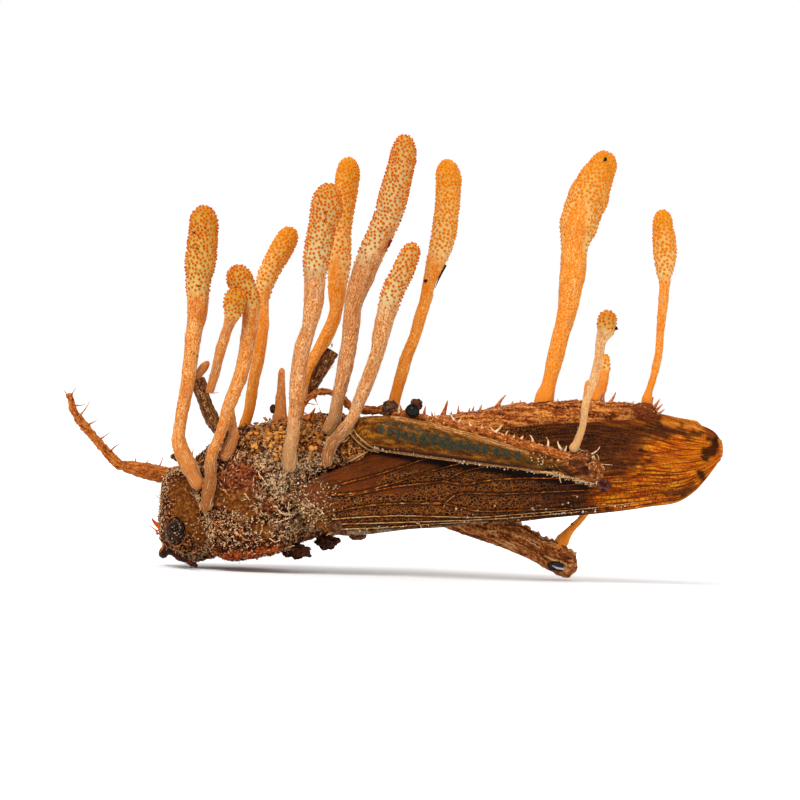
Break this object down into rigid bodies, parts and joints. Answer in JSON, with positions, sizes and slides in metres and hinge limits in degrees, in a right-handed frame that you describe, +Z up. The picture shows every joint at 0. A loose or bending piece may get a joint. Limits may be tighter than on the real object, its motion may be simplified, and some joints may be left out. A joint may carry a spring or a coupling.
{
  "type": "cordyceps on grasshopper",
  "caption": "Dead grasshopper lying on its back, overgrown by a bunch of orange, club-headed cordyceps stromata; it rests on its pronotum and one hind knee.",
  "frame": {"origin": "middle of the bounding box seen from above, on the surface that the insect lies on", "axes": "+X from the insect's head to its wing tips, +Y away from the side that the picture shows, +Z up"},
  "size_m": [0.0598, 0.0154, 0.0394],
  "materials": {
    "stroma": "dry, finely fibrous fungus flesh, its heads dotted with orange spore flasks",
    "cuticle": "brown insect shell under a tan crust of mycelium",
    "wing": "dark net-veined wing leather, amber at the tip",
    "femur": "ochre-olive shell with two rows of grey-green ovals",
    "red_leg": "reddish brown leg shell with pale spines",
    "stub": "dark dried leg and feeler ends under fuzz",
    "eye": "dark grainy compound eye",
    "soil": "black crumbly soil and bark"
  },
  "bodies": {
    "root": {"insect_head": "cuticle", "eye_near": "eye", "eye_far": "eye", "mouthparts": "cuticle", "antenna_near": "stub", "antenna_far": "stub", "pronotum": "cuticle", "thorax": "cuticle", "abdomen": "cuticle", "forewing_near": "wing", "forewing_far": "wing", "hind_femur_near": "femur", "hind_femur_far": "femur", "hind_coxa_near": "cuticle", "hind_tibia_near": "red_leg", "hind_tarsus_near": "red_leg", "foreleg_femur": "red_leg", "foreleg_tibia": "red_leg", "foreleg_tarsus": "red_leg", "foreleg_stub": "stub", "midleg_stub": "stub", "soil_ball": "soil", "soil_lump": "soil", "bark_flake_front": "soil", "bark_flake_hind": "soil", "stroma_01": "stroma", "stroma_02": "stroma", "stroma_03": "stroma", "stroma_04": "stroma", "stroma_05": "stroma", "stroma_06": "stroma", "stroma_07": "stroma", "stroma_08": "stroma", "stroma_09": "stroma", "stroma_10": "stroma", "stroma_11": "stroma", "stroma_12": "stroma", "stroma_13": "stroma", "stroma_14": "stroma", "stroma_15": "stroma", "stroma_16": "stroma", "stroma_bud_front": "stroma", "stroma_bud_hind": "stroma"}
  },
  "joints": []
}
